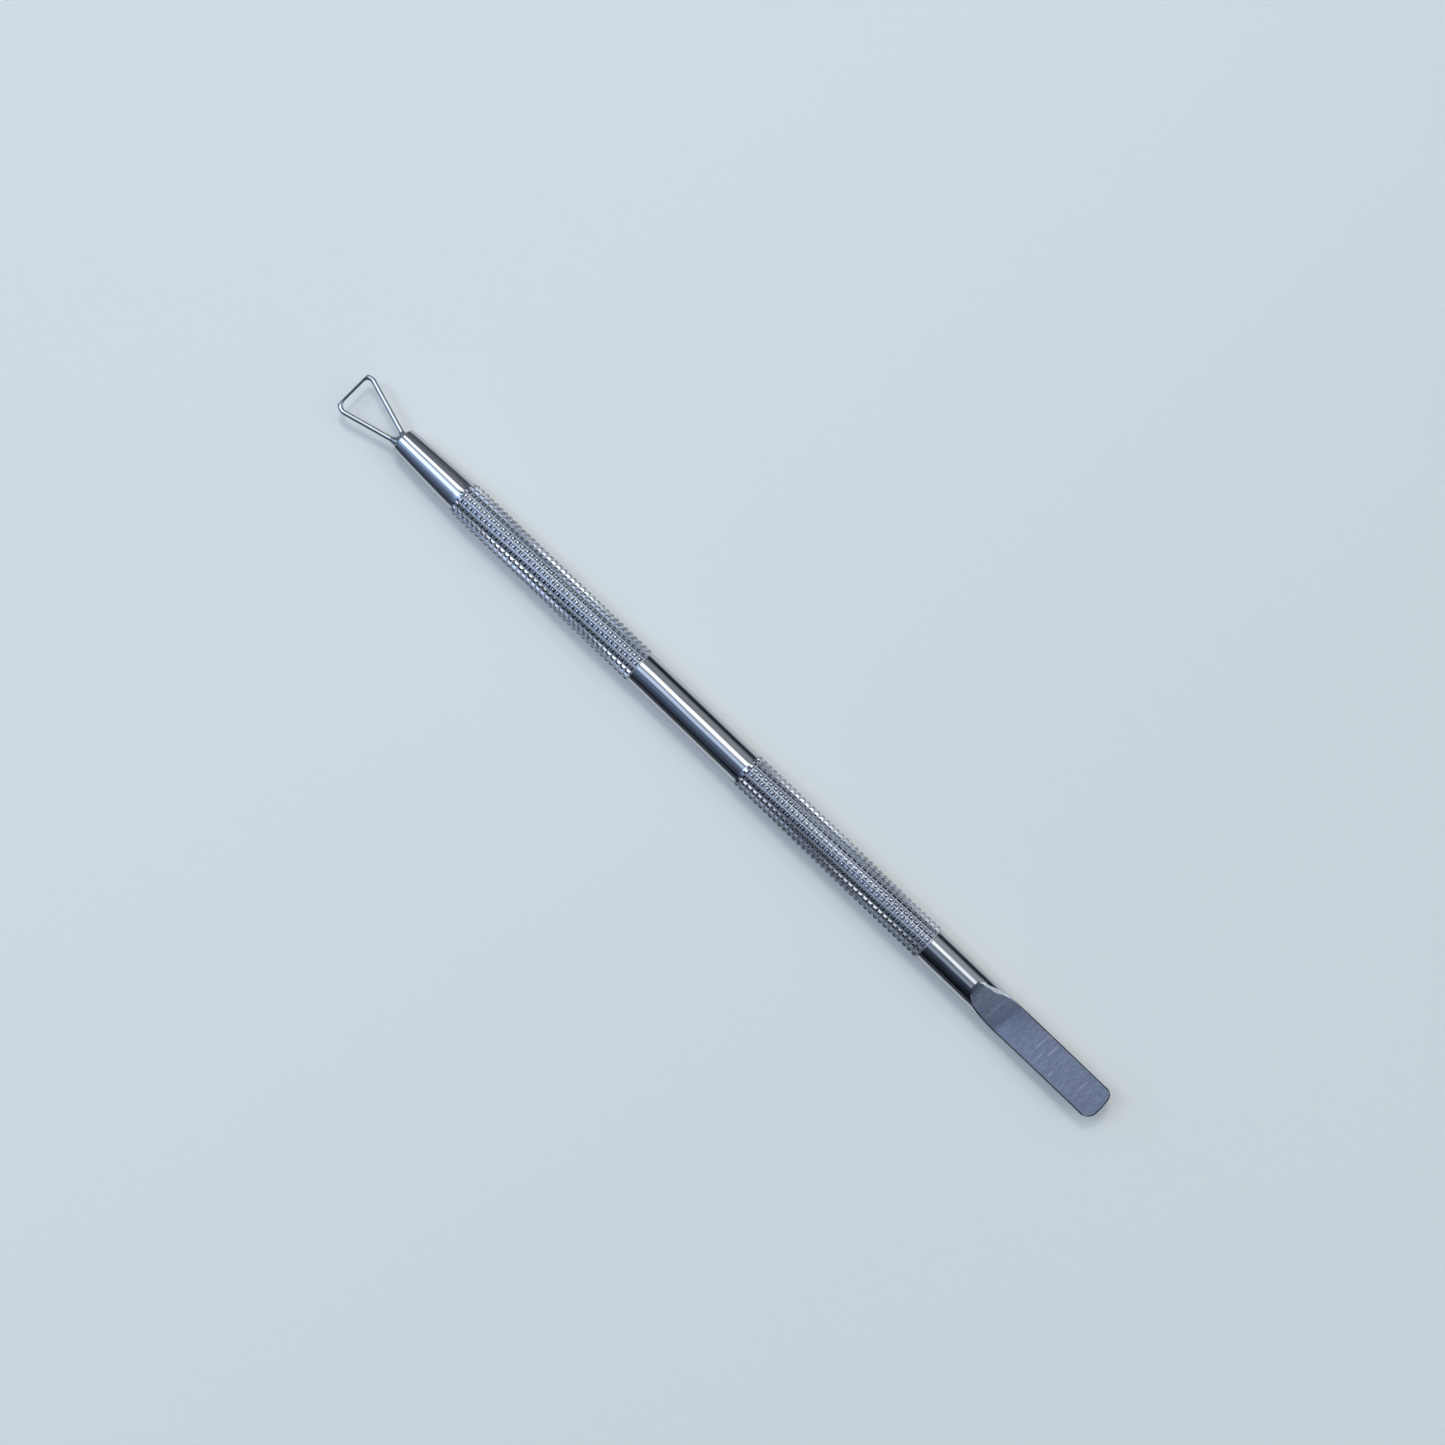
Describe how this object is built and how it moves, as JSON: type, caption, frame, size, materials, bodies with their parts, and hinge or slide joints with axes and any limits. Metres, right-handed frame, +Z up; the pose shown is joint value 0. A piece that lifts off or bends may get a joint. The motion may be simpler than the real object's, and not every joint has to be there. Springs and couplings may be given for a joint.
{
  "type": "cuticle pusher",
  "caption": "Slim steel hand tool with knurled grips, a ground flat pusher blade at one end and a triangular wire scraping loop at the other.",
  "frame": {"origin": "under the bar's axis at the middle of the tool's length, on the surface that the knurled grips rest on", "axes": "+X along the tool towards the pusher blade's tip, with the wire loop at the -X end; +Z up, out of the blade's ground upper face; +Y to the left when looking along +X"},
  "size_m": [0.14, 0.0068, 0.0053],
  "materials": {
    "polished_steel": "polished stainless steel, with a satin ground blade",
    "loop_wire": "bright drawn stainless wire with a ground crossbar",
    "braze": "silver braze, dull satin"
  },
  "bodies": {
    "root": {"handle_bar": "polished_steel", "wire_loop": "loop_wire", "braze_fill": "braze"}
  },
  "joints": []
}
